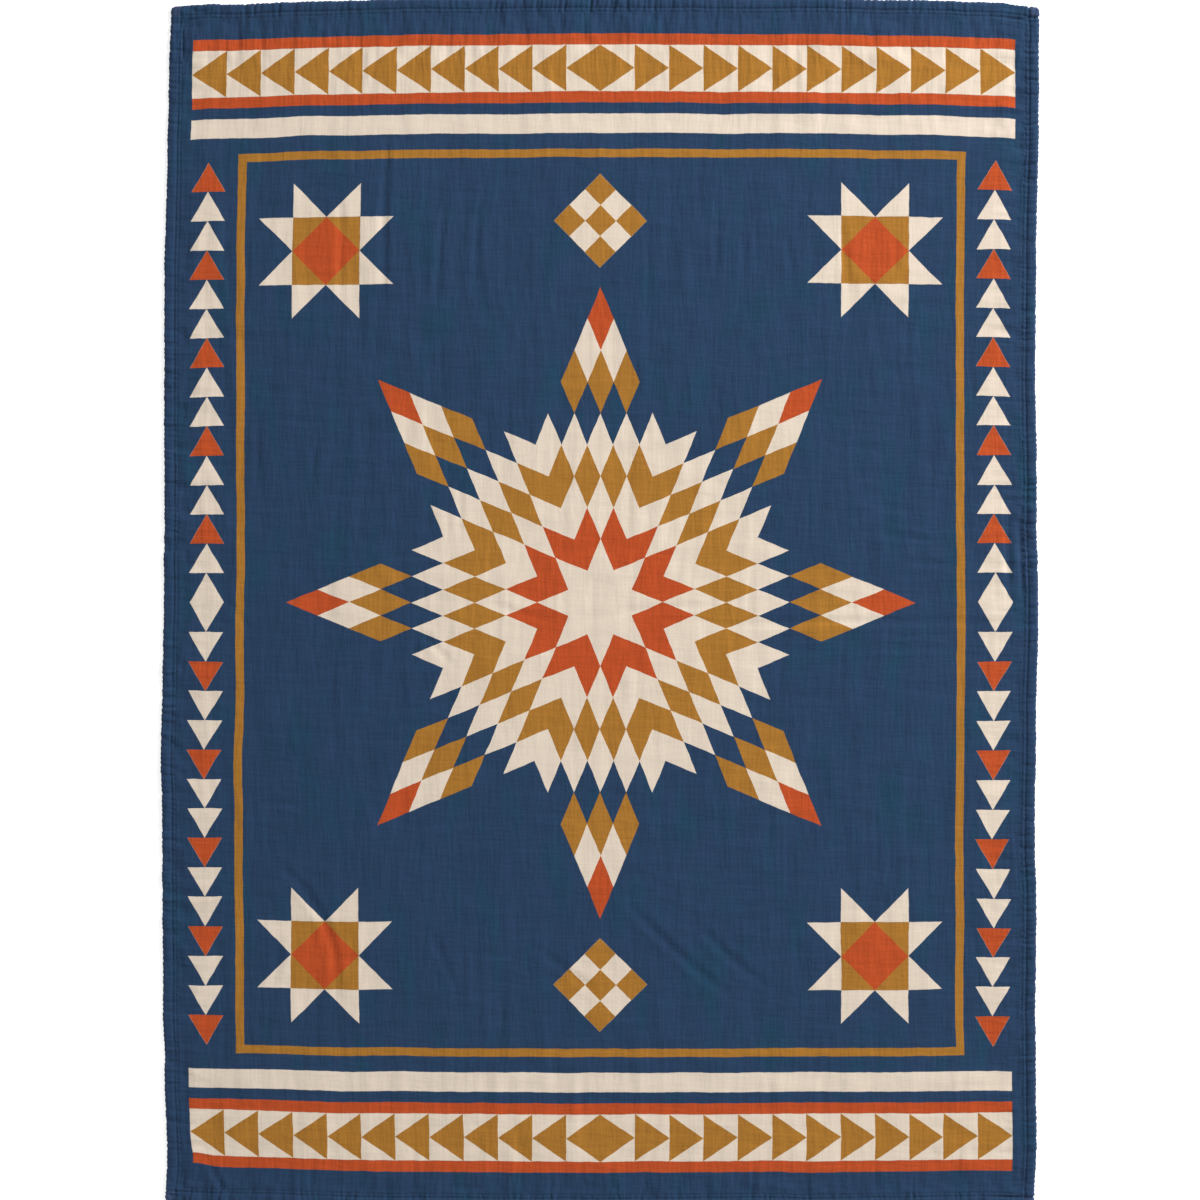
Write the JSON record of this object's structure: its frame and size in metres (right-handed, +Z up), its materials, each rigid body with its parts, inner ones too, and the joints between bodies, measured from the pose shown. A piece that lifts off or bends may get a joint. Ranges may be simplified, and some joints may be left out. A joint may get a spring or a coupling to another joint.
{
  "type": "star quilt blanket",
  "caption": "Printed cotton gauze throw blanket with a quilt-style star print and a turned, topstitched hem, lying flat and face up.",
  "frame": {"origin": "middle of the sheet's box, on the flat underside", "axes": "+X across the width, +Y along the length, +Z up out of the printed face"},
  "size_m": [1.279, 1.764, 0.0066],
  "materials": {
    "gauze_cloth": "matt crinkled cotton gauze, navy with a cream, mustard and rust print"
  },
  "bodies": {
    "root": {"blanket": "gauze_cloth"}
  },
  "joints": []
}
